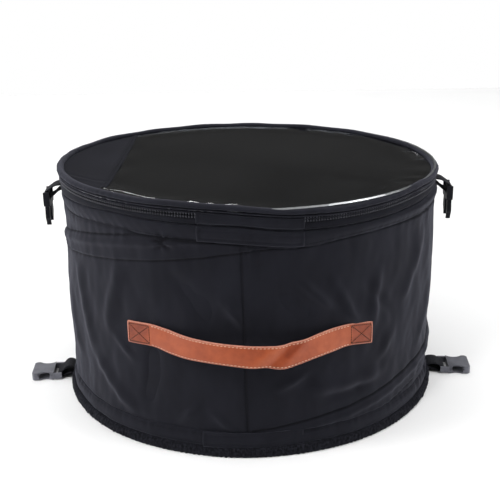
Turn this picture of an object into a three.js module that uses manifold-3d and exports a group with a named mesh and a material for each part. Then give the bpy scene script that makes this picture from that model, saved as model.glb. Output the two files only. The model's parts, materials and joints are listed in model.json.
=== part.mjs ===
// A round pop-up hat box of black cloth, modelled closed and standing at full height.
// Three spring-wire hoops hold it open: one in the base hem, one in the top hem and one helix between them.
// The lid zips on round the sides and back, and turns on a cloth hinge at the front.
// Millimetres, +Z up. The origin is the centre of the base on the table, and the front is towards -Y.
import * as THREE from "three";
import { mergeVertices } from "three/addons/utils/BufferGeometryUtils.js";
import Module from "manifold-3d";

// Driving dimensions. An angle is measured in degrees from the front, and grows towards +X.
const GAP = 0.3; // clearance between pieces that touch
const RING_STEPS = 60; // facets round each hoop
const STEP = 360 / RING_STEPS;
const CLOTH = 1.2; // wall cloth with its lining
const WALL_R = 214.5; // outside of the wall
const WIRE_R = 1.5; // spring wire, 3 mm across

const BASE_SHEET_TOP = 1.4;
const BASE_R = 217.5;
const BOARD_TOP = 4.3;
const LINING_TOP = 5.7;
const LINING_R = 212;
const BINDING_TOP = 11;
const BINDING_R = 218.6;
const LOW_HEM_TOP = 25.2;
const HIGH_HEM_BOTTOM = 225;
const HEM_TOP = 242; // top of the upper hem, where the zip tape starts
const HEM_R = 216.1; // outside of both hems
const HEM_DEPTH = 7.7; // from the outside of a hem to its inside
const HEM_TUCK = 3; // how far the wall's edges run into the hems

const ZIP_MIDDLE = 256.4; // the zip's teeth run just under the lid's piping
const ZIP_TAPE_R = 214.6;
const ZIP_TAPE_THICK = 0.8;
const TEETH_WIDE = 2.4;
const TEETH_THICK = 2;
const TEETH_SPLIT = 1.2; // open slot between the two rows of teeth
const ZIP_END = 15; // the zip stops this far from the front on both sides

const PIPING_R = 4;
const PIPING_MIDDLE_R = 215.8;
const PIPING_MIDDLE_Z = 264.2;
const LID_R = 211.3; // edge of the lid's cloth and window, inside the piping
const LID_TOP = 264.8;
const WINDOW_THICK = 0.6;
const WINDOW_CHORD_X = -147; // straight seam between the lid's cloth and its clear window

const PATCH_HALF_ANGLE = 14;
const PATCH_THICK = 0.9;
const HELIX_START_Z = 235;
const HELIX_END_Z = 14;
const HELIX_TAPE_WIDE = 26;
const HELIX_WIRE_R = 210.4; // radius of the helix

const STRAP_WIDE = 27; // leather-look handle
const STRAP_THICK = 2.4;
const STRAP_MIDDLE_Z = 122;
const STRAP_SAG = 6;
const STRAP_BULGE = 21;
const STRAP_END = 36; // each end of the strap, in degrees from the front
const STRAP_FREE = 30.4; // the strap is sewn to the wall from here to its end
const STRAP_CUT_X = 109; // the lifting middle part ends here

const WEB_WIDE = 25; // webbing and buckles are the standard 25 mm size
const WEB_THICK = 3; // two layers of 1.5 mm webbing
const EYE_R = 4.2;
const EYE_HOLE_R = 2.5;
const BAR_R = 1.9;
const BUCKLE_HALF = 16.5;
const RAIL = 3.2; // side rails of a buckle frame
const WAIST_R = 13; // the female half narrows in its middle, more above than below
const WAIST_ABOVE = 4.5;
const WAIST_BELOW = 2;
const MALE_BAR = new THREE.Vector3(234, 0, 234.4);
const FEMALE_BAR = new THREE.Vector3(237, 0, 4.7);
const STRAP_ANGLE = 86; // webbing and buckles sit at both sides, a little to the front

const SLIDER_LONG = 11;
const SLIDER_TALL = 7;
const SLIDER_PLATE = 1;
const SLIDER_OFFSET = 2.3; // the two sliders meet at the back, this many degrees either side of it
const SLIDER_RUN = 0.8; // clearance between a slider's back plate and the tape
const PULL_LONG = 27;
const PULL_WIDE = 7;
const PULL_PIN_R = 0.7;

const TEETH_R = ZIP_TAPE_R + ZIP_TAPE_THICK + GAP; // inside of the teeth
const SLIDER_FRONT_R = TEETH_R + TEETH_THICK + GAP + SLIDER_PLATE / 2;
const SLIDER_BACK_R = ZIP_TAPE_R - SLIDER_RUN - SLIDER_PLATE / 2;
const PULL_PIVOT_R = SLIDER_FRONT_R + 2.2;

const rad = THREE.MathUtils.degToRad;
const wasm = await Module();
wasm.setup();

// Solids: three.js geometry in and out of manifold-3d, which only joins and cuts.
function toSolid(geometry) {
  const bare = geometry.clone();
  bare.deleteAttribute("normal");
  bare.deleteAttribute("uv");
  const merged = mergeVertices(bare, 1e-3);
  return new wasm.Manifold(
    new wasm.Mesh({
      numProp: 3,
      vertProperties: merged.attributes.position.array,
      triVerts: new Uint32Array(merged.index.array),
    }),
  );
}

function toGeometry(solid) {
  const mesh = solid.getMesh();
  return new THREE.BufferGeometry()
    .setAttribute("position", new THREE.BufferAttribute(new Float32Array(mesh.vertProperties), 3))
    .setIndex(new THREE.BufferAttribute(new Uint32Array(mesh.triVerts), 1));
}

function join(first, ...others) {
  return toGeometry(others.reduce((whole, g) => whole.add(toSolid(g)), toSolid(first)));
}

function cut(first, ...others) {
  return toGeometry(others.reduce((whole, g) => whole.subtract(toSolid(g)), toSolid(first)));
}

function between(geometry, zLow, zHigh) {
  const slab = new THREE.BoxGeometry(4 * WALL_R, 4 * WALL_R, zHigh - zLow);
  slab.translate(0, 0, (zLow + zHigh) / 2);
  return toGeometry(toSolid(geometry).intersect(toSolid(slab)));
}

// Shapes round the box's axis. A section is a list of [radius, z] corners, anticlockwise.
function rectangle(rIn, rOut, zLow, zHigh) {
  return [
    [rIn, zLow],
    [rOut, zLow],
    [rOut, zHigh],
    [rIn, zHigh],
  ];
}

function wireSection(r, z, radius) {
  const sides = 6;
  return Array.from({ length: sides }, (_, i) => {
    const a = (2 * Math.PI * i) / sides;
    return [r + radius * Math.cos(a), z + radius * Math.sin(a)];
  });
}

// A full hoop, with its corners on the same angles as the ends of the zip.
function hoop(section) {
  const closed = [...section, section[0]].map(([r, z]) => new THREE.Vector2(r, z));
  return new THREE.LatheGeometry(closed, RING_STEPS, rad(ZIP_END % STEP)).rotateX(Math.PI / 2);
}

function disc(r, zLow, zHigh) {
  const profile = [
    [0, zLow],
    [r, zLow],
    [r, zHigh],
    [0, zHigh],
  ].map(([x, z]) => new THREE.Vector2(x, z));
  return new THREE.LatheGeometry(profile, RING_STEPS, rad(ZIP_END % STEP)).rotateX(Math.PI / 2);
}

class FrontArc extends THREE.Curve {
  constructor(radius, from, to) {
    super();
    Object.assign(this, { radius, from, to });
  }
  getPoint(t, target = new THREE.Vector3()) {
    const a = rad(this.from + (this.to - this.from) * t);
    return target.set(this.radius * Math.sin(a), -this.radius * Math.cos(a), 0);
  }
}

// Part of a hoop, from one angle to another. The extrusion's own axes are -Z and inwards.
function hoopPart(section, from, to, steps) {
  const radius = section[0][0];
  const shape = new THREE.Shape(section.map(([r, z]) => new THREE.Vector2(-z, radius - r)));
  const extrudePath = new FrontArc(radius, from, to);
  return new THREE.ExtrudeGeometry(shape, { steps, extrudePath });
}

// Lowers a flat hoop part into one turn of a helix, which starts at the front and goes left, back and right.
function intoHelix(geometry) {
  const at = geometry.attributes.position;
  for (let i = 0; i < at.count; i++) {
    const turn = (Math.atan2(-at.getX(i), -at.getY(i)) / (2 * Math.PI) + 1) % 1;
    at.setZ(i, at.getZ(i) + HELIX_START_Z + (HELIX_END_Z - HELIX_START_Z) * turn);
  }
  return geometry;
}

// Base
function hemSection(zEdge, zClosed) {
  // A U of folded cloth, open towards zEdge, which the wall's edge and the wire go into.
  const rIn = HEM_R - HEM_DEPTH;
  const up = Math.sign(zEdge - zClosed);
  const section = [
    [rIn, zClosed],
    [HEM_R, zClosed],
    [HEM_R, zEdge],
    [HEM_R - CLOTH, zEdge],
    [HEM_R - CLOTH, zClosed + up * CLOTH],
    [rIn + CLOTH, zClosed + up * CLOTH],
    [rIn + CLOTH, zEdge - up * 2],
    [rIn, zEdge - up * 2],
  ];
  return up > 0 ? section : section.reverse();
}

function hemWire(z) {
  return hoop(wireSection(HEM_R - HEM_DEPTH / 2, z, WIRE_R));
}

function patch(zLow, zHigh) {
  const rIn = HEM_R + GAP;
  return hoopPart(
    rectangle(rIn, rIn + PATCH_THICK, zLow, zHigh),
    -PATCH_HALF_ANGLE,
    PATCH_HALF_ANGLE,
    6,
  );
}

// Wall and the wire helix that pops it up
function helixTape() {
  const rOut = WALL_R - CLOTH - GAP;
  const thick = 0.9;
  const half = HELIX_TAPE_WIDE / 2;
  const tunnel = 4;
  const depth = 4.8;
  const section = [
    [rOut - thick, -half],
    [rOut, -half],
    [rOut, -tunnel - 1],
    [rOut - depth, -tunnel + 1],
    [rOut - depth, tunnel - 1],
    [rOut, tunnel + 1],
    [rOut, half],
    [rOut - thick, half],
    [rOut - depth - thick, tunnel],
    [rOut - depth - thick, -tunnel],
  ];
  const flat = hoopPart(section, STEP / 2, 360 - STEP / 2, RING_STEPS - 1);
  return between(intoHelix(flat), LOW_HEM_TOP + GAP, HIGH_HEM_BOTTOM - GAP);
}

function helixWire() {
  const section = wireSection(HELIX_WIRE_R, 0, WIRE_R);
  const flat = hoopPart(section, STEP / 2, 360 - STEP / 2, RING_STEPS - 1);
  return between(intoHelix(flat), LOW_HEM_TOP + GAP, HIGH_HEM_BOTTOM - GAP);
}

// Zip. side is -1 for the lower row, on the box, and 1 for the upper row, on the lid.
function roundToFront(rIn, rOut, zA, zB) {
  // From one side of the hinge panel round the back to the other side.
  const section = rectangle(rIn, rOut, Math.min(zA, zB), Math.max(zA, zB));
  const steps = Math.round((360 - 2 * ZIP_END) / STEP);
  return hoopPart(section, ZIP_END, 360 - ZIP_END, steps);
}

function zipTape(side) {
  const near = ZIP_MIDDLE + (side * TEETH_SPLIT) / 2;
  const far = side < 0 ? HEM_TOP + GAP : PIPING_MIDDLE_Z - PIPING_R - GAP;
  return roundToFront(ZIP_TAPE_R, ZIP_TAPE_R + ZIP_TAPE_THICK, near, far);
}

function zipTeeth(side) {
  const near = ZIP_MIDDLE + (side * TEETH_SPLIT) / 2;
  return roundToFront(TEETH_R, TEETH_R + TEETH_THICK, near, near + side * TEETH_WIDE);
}

// Lid
function pipingSection() {
  // A cloth tube round the lid's wire, open along the inside where the lid's edge is sewn in.
  const sides = 6;
  const open = 40;
  const arc = (radius, i) => {
    const a = rad(-180 + open + ((360 - 2 * open) * i) / sides);
    return [PIPING_MIDDLE_R + radius * Math.cos(a), PIPING_MIDDLE_Z + radius * Math.sin(a)];
  };
  const outer = Array.from({ length: sides + 1 }, (_, i) => arc(PIPING_R, i));
  const inner = Array.from({ length: sides + 1 }, (_, i) => arc(PIPING_R - CLOTH, sides - i));
  return [...outer, ...inner];
}

function lidSheet(side, thick) {
  // The part of the lid's disc on one side of the straight seam: -1 is the cloth, 1 the clear window.
  const seam = WINDOW_CHORD_X + (side * GAP) / 2;
  const half = Math.acos(seam / LID_R);
  const shape = new THREE.Shape();
  if (side > 0) shape.absarc(0, 0, LID_R, -half, half, false);
  else shape.absarc(0, 0, LID_R, half, 2 * Math.PI - half, false);
  return new THREE.ExtrudeGeometry(shape, {
    depth: thick,
    bevelEnabled: false,
    curveSegments: side > 0 ? 40 : 16,
  }).translate(0, 0, LID_TOP - thick);
}

function hingePanel() {
  const rIn = HEM_R - CLOTH + GAP;
  const section = rectangle(rIn, rIn + CLOTH, HEM_TOP + GAP, PIPING_MIDDLE_Z - PIPING_R - GAP);
  return hoopPart(section, -PATCH_HALF_ANGLE, PATCH_HALF_ANGLE, 6);
}

// Handle: one strap, cut by two planes across X where its free middle starts to lift off the wall.
function wholeStrap() {
  const steps = 36;
  const inside = (a) => {
    const lift = Math.abs(a) < STRAP_FREE ? Math.cos(rad((90 * a) / STRAP_FREE)) ** 2 : 0;
    return WALL_R + 0.4 + STRAP_BULGE * lift;
  };
  const point = (r, a) => new THREE.Vector2(r * Math.sin(rad(a)), -r * Math.cos(rad(a)));
  const angles = Array.from({ length: steps + 1 }, (_, i) => STRAP_END * ((2 * i) / steps - 1));
  const outline = [
    ...angles.map((a) => point(inside(a) + STRAP_THICK, a)),
    ...angles.reverse().map((a) => point(inside(a), a)),
  ];
  const strap = new THREE.ExtrudeGeometry(new THREE.Shape(outline), {
    depth: STRAP_WIDE,
    bevelEnabled: false,
  }).translate(0, 0, STRAP_MIDDLE_Z - STRAP_WIDE / 2);
  const at = strap.attributes.position;
  for (let i = 0; i < at.count; i++) {
    const out = Math.hypot(at.getX(i), at.getY(i)) - WALL_R - STRAP_THICK / 2;
    at.setZ(i, at.getZ(i) - STRAP_SAG * THREE.MathUtils.clamp(out / STRAP_BULGE, 0, 1));
  }
  return strap;
}

function strapPart(xLow, xHigh) {
  const slab = new THREE.BoxGeometry(xHigh - xLow, 4 * WALL_R, 4 * WALL_R);
  slab.translate((xLow + xHigh) / 2, 0, 0);
  return toGeometry(toSolid(wholeStrap()).intersect(toSolid(slab)));
}

// Webbing and buckles, made for the right side (+X) with their bars along Y.
function barAt(x, z, radius, long) {
  return new THREE.CylinderGeometry(radius, radius, long, 12).translate(x, 0, z);
}

function webbingLoop(root, eye) {
  const from = new THREE.Vector2(root.x, root.z);
  const to = new THREE.Vector2(eye.x, eye.z);
  const away = to.clone().sub(from);
  const tab = new THREE.BoxGeometry(away.length(), WEB_WIDE, WEB_THICK);
  tab.rotateY(-away.angle()).translate((from.x + to.x) / 2, 0, (from.y + to.y) / 2);
  return cut(
    join(tab, barAt(eye.x, eye.z, EYE_R, WEB_WIDE)),
    barAt(eye.x, eye.z, EYE_HOLE_R, WEB_WIDE + 2),
  );
}

function plate(outline, thick) {
  // An outline of [y, z] corners, extruded across X and centred on it.
  const shape = new THREE.Shape(outline.map(([y, z]) => new THREE.Vector2(y, z)));
  const flat = new THREE.ExtrudeGeometry(shape, { depth: thick, bevelEnabled: false });
  return flat.translate(0, 0, -thick / 2).rotateX(Math.PI / 2).rotateZ(Math.PI / 2);
}

const ARM_ROOT_Z = -14.3; // below the bar, where the springy arms start

function maleFrame() {
  const inside = BUCKLE_HALF - RAIL;
  const prong = 3.5;
  const frame = plate(
    [
      [-BUCKLE_HALF, 2.4],
      [-inside, 2.4],
      [-inside, -7.5],
      [inside, -7.5],
      [inside, 2.4],
      [BUCKLE_HALF, 2.4],
      [BUCKLE_HALF, -11],
      [BUCKLE_HALF - 1.5, ARM_ROOT_Z + GAP],
      [prong, ARM_ROOT_Z + GAP],
      [prong - 1, -29.5],
      [-prong + 1, -29.5],
      [-prong, ARM_ROOT_Z + GAP],
      [-BUCKLE_HALF + 1.5, ARM_ROOT_Z + GAP],
      [-BUCKLE_HALF, -11],
    ].reverse(),
    7,
  );
  return join(frame, barAt(0, 0, BAR_R, 2 * inside + 1));
}

function maleArm(side) {
  // A springy arm with its press tab and barb. side is 1 towards +Y.
  const outline = [
    [9.5, ARM_ROOT_Z],
    [14.6, ARM_ROOT_Z],
    [15.4, -20],
    [16.4, -24.5],
    [16.2, -27.5],
    [14, -30],
    [11.5, -34],
    [9.8, -37.5],
    [8, -37],
    [9.2, -32.5],
    [11.4, -27.5],
    [11.2, -21],
  ].map(([y, z]) => [side * y, z]);
  return plate(side > 0 ? outline.reverse() : outline, 5);
}

function femaleHalf() {
  const outer = [
    [7.5, -BUCKLE_HALF],
    [31, -BUCKLE_HALF],
    [33.5, -BUCKLE_HALF + 2.5],
    [33.5, BUCKLE_HALF - 2.5],
    [31, BUCKLE_HALF],
    [7.5, BUCKLE_HALF],
  ].map(([x, y]) => new THREE.Vector2(x, y));
  const half = 4.5;
  const flat = { depth: 2 * half, bevelEnabled: false };
  const body = new THREE.ExtrudeGeometry(new THREE.Shape(outer), flat).translate(0, 0, -half);
  const rail = (side) =>
    new THREE.BoxGeometry(11, RAIL, 7).translate(3, side * (BUCKLE_HALF - RAIL / 2), 0);
  const socket = new THREE.BoxGeometry(22, 25, 5.8).translate(12.5 + 11, 0, 0);
  const windows = new THREE.BoxGeometry(12.5, 2 * BUCKLE_HALF + 2, 5.8).translate(18.75, 0, 0);
  const waist = (side, deep, z) =>
    new THREE.CylinderGeometry(WAIST_R, WAIST_R, 5, 40)
      .rotateX(Math.PI / 2)
      .translate(17, side * (BUCKLE_HALF + WAIST_R - deep), z);
  const waists = [-1, 1].flatMap((side) => [waist(side, WAIST_ABOVE, 2.5), waist(side, WAIST_BELOW, -2.5)]);
  const bar = barAt(0, 0, BAR_R, 2 * (BUCKLE_HALF - RAIL) + 1);
  return cut(join(body, rail(-1), rail(1), bar), socket, windows, ...waists);
}

// Zip sliders, made at the front and turned into place
function slider() {
  const flat = new THREE.BoxGeometry(SLIDER_LONG, SLIDER_PLATE, SLIDER_TALL);
  const plates = [SLIDER_FRONT_R, SLIDER_BACK_R].map((r) => flat.clone().translate(0, -r, 0));
  const web = new THREE.BoxGeometry(3, SLIDER_FRONT_R - SLIDER_BACK_R, TEETH_SPLIT / 2);
  web.translate(0, -(SLIDER_FRONT_R + SLIDER_BACK_R) / 2, 0);
  const lug = new THREE.BoxGeometry(2.4, 3.6, 4.4).translate(0, -SLIDER_FRONT_R - 1.9, 0);
  const hole = alongX(new THREE.CylinderGeometry(PULL_PIN_R + GAP, PULL_PIN_R + GAP, 6, 10));
  hole.translate(0, -PULL_PIVOT_R, 0);
  return cut(join(plates[0], plates[1], web, lug), hole).translate(0, 0, ZIP_MIDDLE);
}

function alongX(geometry) {
  return geometry.rotateZ(Math.PI / 2);
}

function pull() {
  // A tab on a fork, whose cross pin goes through the slider's lug. The pin is at the origin.
  const fork = new THREE.BoxGeometry(PULL_WIDE, 1.6, 5.6).translate(0, 0, -1.6);
  const slot = new THREE.BoxGeometry(3.2, 3, 5).translate(0, 0, -0.6);
  const pin = alongX(new THREE.CylinderGeometry(PULL_PIN_R, PULL_PIN_R, PULL_WIDE - 1, 10));
  const tab = new THREE.BoxGeometry(PULL_WIDE, 1.6, PULL_LONG - 4).translate(0, 0, -PULL_LONG / 2 - 2);
  const hole = new THREE.BoxGeometry(3.2, 3, 12).translate(0, 0, -PULL_LONG / 2 - 4);
  return cut(join(cut(fork, slot), pin, tab), hole);
}

// Materials
const cloth = { color: 0x1d1f24, roughness: 0.92, metalness: 0 };
const binding = { color: 0x141518, roughness: 0.95, metalness: 0 };
const webbing = { color: 0x121316, roughness: 0.85, metalness: 0 };
const wire = { color: 0x8b8d90, roughness: 0.35, metalness: 1 };
const teeth = { color: 0x17181a, roughness: 0.5, metalness: 0 };
const board = { color: 0x26282b, roughness: 0.7, metalness: 0 };
const leather = { color: 0xb4552c, roughness: 0.5, metalness: 0 };
const plastic = { color: 0x202326, roughness: 0.42, metalness: 0 };
const enamel = { color: 0x18191b, roughness: 0.35, metalness: 0.6 };
const clear = { color: 0xdfe6ea, roughness: 0.08, metalness: 0, transparent: true, opacity: 0.25 };

// Assembly
const hatBox = new THREE.Group();

function add(name, geometry, look, parent = hatBox) {
  const mesh = new THREE.Mesh(geometry, new THREE.MeshStandardMaterial(look));
  mesh.name = name;
  parent.add(mesh);
  return mesh;
}

add("base_panel", disc(BASE_R, 0, BASE_SHEET_TOP), cloth);
add("base_board", disc(LINING_R, BASE_SHEET_TOP + GAP, BOARD_TOP), board);
add("base_lining", disc(LINING_R, BOARD_TOP + GAP, LINING_TOP), cloth);
add(
  "base_binding",
  hoop(rectangle(BINDING_R - 3.6, BINDING_R, BASE_SHEET_TOP + GAP, BINDING_TOP)),
  binding,
);
add("bottom_hem", hoop(hemSection(LOW_HEM_TOP, BINDING_TOP + GAP)), cloth);
add("bottom_hem_wire", hemWire(BINDING_TOP + 6), wire);
add("bottom_patch", patch(BINDING_TOP + GAP, LOW_HEM_TOP + 0.8), cloth);

const wallSection = rectangle(
  WALL_R - CLOTH,
  WALL_R,
  LOW_HEM_TOP - HEM_TUCK,
  HIGH_HEM_BOTTOM + HEM_TUCK,
);
add("wall", hoop(wallSection), cloth);
add("helix_tape", helixTape(), cloth);
add("helix_wire", helixWire(), wire);

add("top_hem", hoop(hemSection(HIGH_HEM_BOTTOM, HEM_TOP)), cloth);
add("top_hem_wire", hemWire(HEM_TOP - 5), wire);
add("top_patch", patch(HIGH_HEM_BOTTOM - 1, HEM_TOP), cloth);
add("zip_tape_box", zipTape(-1), webbing);
add("zip_teeth_box", zipTeeth(-1), teeth);

add("zip_tape_lid", zipTape(1), webbing);
add("zip_teeth_lid", zipTeeth(1), teeth);
add("hinge_panel", hingePanel(), cloth);
add("lid_piping", hoop(pipingSection()), cloth);
add("lid_wire", hoop(wireSection(PIPING_MIDDLE_R, PIPING_MIDDLE_Z, WIRE_R)), wire);
add("lid_panel", lidSheet(-1, CLOTH), cloth);
add("lid_window", lidSheet(1, WINDOW_THICK), clear);

add("handle_grip", strapPart(-STRAP_CUT_X, STRAP_CUT_X), leather);
add("handle_end_left", strapPart(-WALL_R, -STRAP_CUT_X - GAP), leather);
add("handle_end_right", strapPart(STRAP_CUT_X + GAP, WALL_R), leather);

for (const [side, turn] of [
  ["right", 0],
  ["left", 180],
]) {
  const across = new THREE.Group();
  across.rotation.z = rad(turn ? 270 - STRAP_ANGLE : STRAP_ANGLE - 90);
  hatBox.add(across);
  const loopRoot = new THREE.Vector3(HEM_R + 1.1, 0, HEM_TOP - 0.5);
  add(`buckle_loop_${side}`, webbingLoop(loopRoot, MALE_BAR), webbing, across);
  const strapRoot = new THREE.Vector3(BINDING_R + 0.4, 0, BINDING_TOP - 3.4);
  add(`base_strap_${side}`, webbingLoop(strapRoot, FEMALE_BAR), webbing, across);
  add(`buckle_male_${side}`, maleFrame(), plastic, across).position.copy(MALE_BAR);
  add(`buckle_arm_front_${side}`, maleArm(turn ? 1 : -1), plastic, across).position.copy(MALE_BAR);
  add(`buckle_arm_back_${side}`, maleArm(turn ? -1 : 1), plastic, across).position.copy(MALE_BAR);
  add(`buckle_female_${side}`, femaleHalf(), plastic, across).position.copy(FEMALE_BAR);

  const seat = new THREE.Group();
  seat.rotation.z = rad(turn ? -180 + SLIDER_OFFSET : 180 - SLIDER_OFFSET);
  hatBox.add(seat);
  add(`zip_slider_${side}`, slider(), enamel, seat);
  add(`zip_pull_${side}`, pull(), enamel, seat).position.set(0, -PULL_PIVOT_R, ZIP_MIDDLE);
}

export default hatBox;
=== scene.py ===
"""The look of a round pop-up hat box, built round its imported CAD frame.

Sizes are in millimetres. An angle is in degrees from the front (-Y) and grows towards +X, and a place on
a hoop is (angle, height). Blender's own units are metres, so meshes are scaled by MM as they are made.
"""
import json
import math

import bmesh
import bpy
import numpy as np
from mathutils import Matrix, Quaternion, Vector
from mathutils.bvhtree import BVHTree


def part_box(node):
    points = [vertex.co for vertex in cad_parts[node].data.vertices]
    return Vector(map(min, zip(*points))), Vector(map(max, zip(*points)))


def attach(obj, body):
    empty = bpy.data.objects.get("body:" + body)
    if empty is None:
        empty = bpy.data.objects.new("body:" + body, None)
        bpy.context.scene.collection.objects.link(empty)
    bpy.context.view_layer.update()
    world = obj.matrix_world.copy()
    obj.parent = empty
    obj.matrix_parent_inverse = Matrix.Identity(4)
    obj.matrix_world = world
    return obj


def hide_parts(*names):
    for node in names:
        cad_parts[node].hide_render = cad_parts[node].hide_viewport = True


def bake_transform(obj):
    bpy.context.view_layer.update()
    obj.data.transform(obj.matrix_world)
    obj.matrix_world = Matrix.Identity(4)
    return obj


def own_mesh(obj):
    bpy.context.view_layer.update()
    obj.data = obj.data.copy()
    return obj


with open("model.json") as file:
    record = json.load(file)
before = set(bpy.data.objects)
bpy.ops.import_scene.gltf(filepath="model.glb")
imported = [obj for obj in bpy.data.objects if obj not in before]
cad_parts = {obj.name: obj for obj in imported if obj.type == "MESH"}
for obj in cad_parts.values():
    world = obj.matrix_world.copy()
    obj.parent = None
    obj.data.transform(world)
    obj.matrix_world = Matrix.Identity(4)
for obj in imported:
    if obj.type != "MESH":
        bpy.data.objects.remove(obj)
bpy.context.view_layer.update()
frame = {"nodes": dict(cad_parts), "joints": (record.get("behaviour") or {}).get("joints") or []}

MM = 0.001


# ---------- Sizes from the frame ----------
def heights(node):
    low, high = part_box(node)
    return low.z / MM, high.z / MM


def reach(node):
    """The largest radius of a CAD node round the box's axis."""
    return max(math.hypot(v.co.x, v.co.y) for v in frame["nodes"][node].data.vertices) / MM


WALL_R = reach("wall")
WALL_LOW, WALL_HIGH = heights("wall")
HEM_R = reach("top_hem")
HEM_LOW, HEM_HIGH = heights("top_hem")
FOOT_LOW, FOOT_HIGH = heights("bottom_hem")
BINDING_R = reach("base_binding")
BINDING_HIGH = heights("base_binding")[1]
PIPING_R = 4.0
PIPING_MIDDLE_R = reach("lid_piping") - PIPING_R
LID_TOP = heights("lid_window")[1]
LID_R = reach("lid_window")
CHORD_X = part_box("lid_window")[0].x / MM
LINING_TOP = heights("base_lining")[1]
TEETH_R = reach("zip_teeth_box") - 1.1
ZIP_MIDDLE = (heights("zip_teeth_box")[1] + heights("zip_teeth_lid")[0]) / 2
TAPE_R = reach("zip_tape_box")
STRAP_R = reach("handle_grip")

# ---------- Sizes of the soft shapes ----------
WALL_COLUMNS = 420
WALL_ROWS = 210
VERTICAL_SEAM = (-2.3, -1.3)  # where the wall's own seam stands at its top and its foot
SEAM_DEPTH = 0.75
FOLD_GAIN = (1.2, 1.1)  # strength of the folds at the sides, and what the front adds to it
CASING_RAISE = 1.1  # how far the helix casing stands out
WIRE_BUMP = 1.9  # and how far its wire pushes the cloth beyond that
PATCH_ANGLE = (-13.5, 14.4)
KNOT = (-23.3, 229.0)
STRAP_WIDE = 23.6
STRAP_THICK = 2.4
STRAP_BULGE = 21.0
STRAP_END = 36.0
STRAP_FREE = 30.4
STRAP_LINE = [
    (-38, 125), (-27, 127.5), (-17, 123), (-4, 122.5), (8, 119.5), (20, 123.5), (28, 124.5), (38, 118.5),
]  # height of the strap's middle line at each angle
STITCH_PITCH = 3.4

# The helix casing's two seams, as (degrees travelled left from the front, height).
CASING_LOW = [(-80, 270), (-25, 231), (0, 222), (90, 173), (270, 51), (316, 25), (360, 0)]
CASING_HIGH = [(-80, 290), (31, 233), (57, 216), (90, 190), (270, 75), (345, 34), (360, 26)]

# Where the upper hem's seam runs, and how far the hem's top and the lid's edge wander from level,
# as (degrees from the front, millimetres).
HEM_SEAM = [
    (-180, 230), (-60, 231), (-36, 235), (-24, 235), (-8, 231.5), (3, 228), (14, 224.6), (22, 228), (45, 230),
]
HEM_LEAN = [(-72, 0), (-38, 8), (-24, 5.5), (-4, 5), (6, 0), (15, -3.2), (40, -2.5), (72, 0)]
LID_LEAN = [
    (-180, 0), (-90, 3), (-45, 4.6), (-10, 3.6), (0, 0), (12, -4.6), (24, -5.6), (40, -4.6), (55, -2.6),
    (90, -4),
]
COIL_LEAN = 0.7  # how much of the lid's lean the zip's teeth take

# How far the wall swells beyond its even radius at each side, as (height, millimetres).
LEFT_SWELL = [
    (20, 2.2), (35, 1.4), (60, 1.0), (85, 1.7), (110, 2.6), (140, 2.4), (175, 1.3), (200, 0.5), (235, 0.3),
]
RIGHT_SWELL = [
    (20, 0.8), (35, 1.2), (60, 2.4), (80, 1.0), (105, 2.6), (150, 4.2), (190, 4.4), (215, 3.2), (235, 4.0),
]

# Soft folds pressed into the wall: (angle, height) at both ends, then width and height of the ridge.
FOLDS = [
    ((-61, 185), (-52, 80), 9, 2.0), ((-70, 150), (-64, 60), 8, 1.8), ((-38, 198), (-45, 116), 9, 1.8),
    ((-52, 84), (-35, 31), 8, 2.2), ((-42, 118), (-34, 92), 5, 1.6), ((-27, 120), (-31, 40), 9, -1.6),
    ((-22, 200), (-10, 150), 9, -1.4), ((-8, 178), (-1, 142), 6, 2.4), ((-14, 57), (-21, 30), 4, 1.6),
    ((-11, 50), (-5, 26), 4, 1.6), ((12, 194), (24, 151), 5, 2.4), ((24, 154), (33, 132), 6, 1.8),
    ((8, 178), (17, 146), 7, -2.0), ((23, 186), (30, 139), 5, 2.0), ((2, 137), (6, 118), 4, 1.5),
    ((38, 190), (36, 122), 7, 2.0), ((33, 176), (45, 130), 6, -1.4), ((7, 71), (16, 91), 5, 1.8),
    ((16, 69), (43, 71), 8, 1.4), ((20, 56), (38, 60), 6, -1.2), ((61, 216), (48, 138), 8, 1.8),
    ((72, 150), (60, 70), 9, 1.6), ((46, 116), (38, 80), 7, 1.6), ((96, 190), (112, 90), 9, 2.0),
    ((120, 170), (132, 110), 7, 1.6), ((140, 205), (128, 120), 9, 2.0), ((152, 120), (140, 60), 8, -1.6),
    ((165, 160), (176, 60), 10, 2.0), ((-104, 150), (-92, 60), 9, 2.0), ((-116, 190), (-106, 140), 7, 1.6),
    ((-128, 130), (-140, 50), 9, 2.0), ((-150, 200), (-142, 130), 8, -1.6),
    ((-168, 110), (-158, 45), 9, 1.8),
]


# ---------- Numbers along a hoop ----------
def polar(r, deg, z):
    r, a, z = np.broadcast_arrays(r, np.radians(deg), z)
    return np.stack([r * np.sin(a), -r * np.cos(a), z], axis=-1)


def smooth(x):
    x = np.clip(x, 0.0, 1.0)
    return x * x * (3 - 2 * x)


def bump(x, width):
    return np.exp(-((x / width) ** 2))


def turn(deg):
    """An angle between -180 and 180 degrees."""
    return (np.asarray(deg) + 180.0) % 360.0 - 180.0


def field(seed, waves, around, upright):
    """A smooth random pattern on a hoop, as a sum of waves: around is their number per turn, and upright is
    their spread per millimetre of height."""
    rng = np.random.default_rng(seed)
    k = rng.integers(around[0], around[1], waves)
    m = rng.normal(0, upright, waves)
    start = rng.uniform(0, 2 * math.pi, waves)

    def value(deg, z):
        deg, z = np.broadcast_arrays(deg, z)
        total = np.zeros(deg.shape)
        for i in range(waves):
            total += np.sin(np.radians(deg) * k[i] + z * m[i] + start[i])
        return total / math.sqrt(waves / 2)

    return value


BROAD = field(1, 10, (3, 11), 0.02)
CREASES = field(2, 18, (16, 48), 0.06)
RIPPLES = field(5, 20, (40, 110), 0.14)
PUCKERS = field(3, 14, (90, 210), 0.10)
FINE_PUCKERS = field(4, 14, (190, 330), 0.2)


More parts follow.
